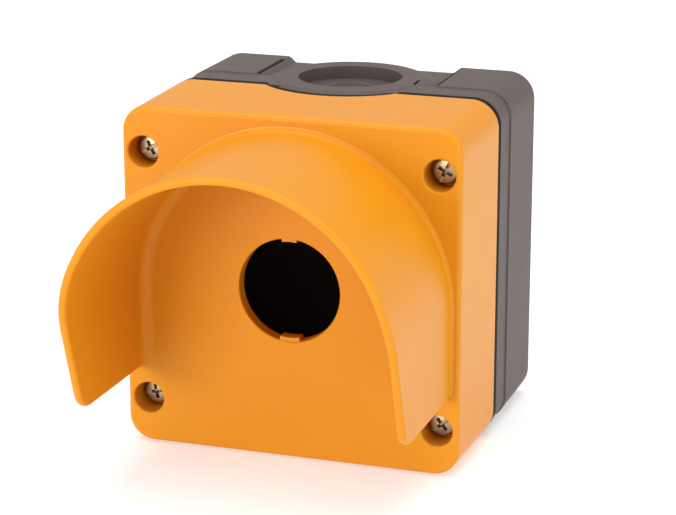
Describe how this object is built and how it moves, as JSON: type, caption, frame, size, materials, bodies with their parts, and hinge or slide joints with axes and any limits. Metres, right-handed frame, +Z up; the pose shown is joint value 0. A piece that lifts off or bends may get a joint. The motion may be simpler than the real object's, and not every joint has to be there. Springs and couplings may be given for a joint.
{
  "type": "control station housing",
  "caption": "Square two-part plastic housing for a single 22 mm push button, with an arched hood round the actuator hole and blind cable entries above and below.",
  "frame": {"origin": "centre of the flat wall-mounting face", "axes": "+Z up, +X to the right seen from the front, -Y out of the cover towards the user, +Y into the wall"},
  "size_m": [0.075, 0.0975, 0.075],
  "materials": {
    "cover": "fine satin moulded yellow-orange",
    "base": "matt moulded dark grey",
    "seal": "soft black rubber",
    "screw": "yellow-passivated steel",
    "retainer": "natural polyamide",
    "insert": "turned brass"
  },
  "bodies": {
    "base": {"base": "base", "knockout_top": "base", "knockout_bottom": "base", "rim_seal": "seal", "threaded_insert_tl": "insert", "threaded_insert_tr": "insert", "threaded_insert_bl": "insert", "threaded_insert_br": "insert"},
    "cover": {"cover": "cover"},
    "screw_tl": {"cover_screw_tl": "screw", "screw_retainer_tl": "retainer"},
    "screw_tr": {"cover_screw_tr": "screw", "screw_retainer_tr": "retainer"},
    "screw_bl": {"cover_screw_bl": "screw", "screw_retainer_bl": "retainer"},
    "screw_br": {"cover_screw_br": "screw", "screw_retainer_br": "retainer"}
  },
  "joints": [
    {"name": "cover_lift", "type": "slide", "parent": "base", "child": "cover", "axis": [0, -1, 0], "range_m": [0, 0.06]},
    {"name": "screw_turn_tl", "type": "hinge", "parent": "cover", "child": "screw_tl", "pos_m": [-0.0323, -0.0538, 0.02725], "axis": [0, -1, 0], "continuous": true},
    {"name": "screw_turn_tr", "type": "hinge", "parent": "cover", "child": "screw_tr", "pos_m": [0.0323, -0.0538, 0.02725], "axis": [0, -1, 0], "continuous": true},
    {"name": "screw_turn_bl", "type": "hinge", "parent": "cover", "child": "screw_bl", "pos_m": [-0.0323, -0.0538, -0.02725], "axis": [0, -1, 0], "continuous": true},
    {"name": "screw_turn_br", "type": "hinge", "parent": "cover", "child": "screw_br", "pos_m": [0.0323, -0.0538, -0.02725], "axis": [0, -1, 0], "continuous": true}
  ]
}
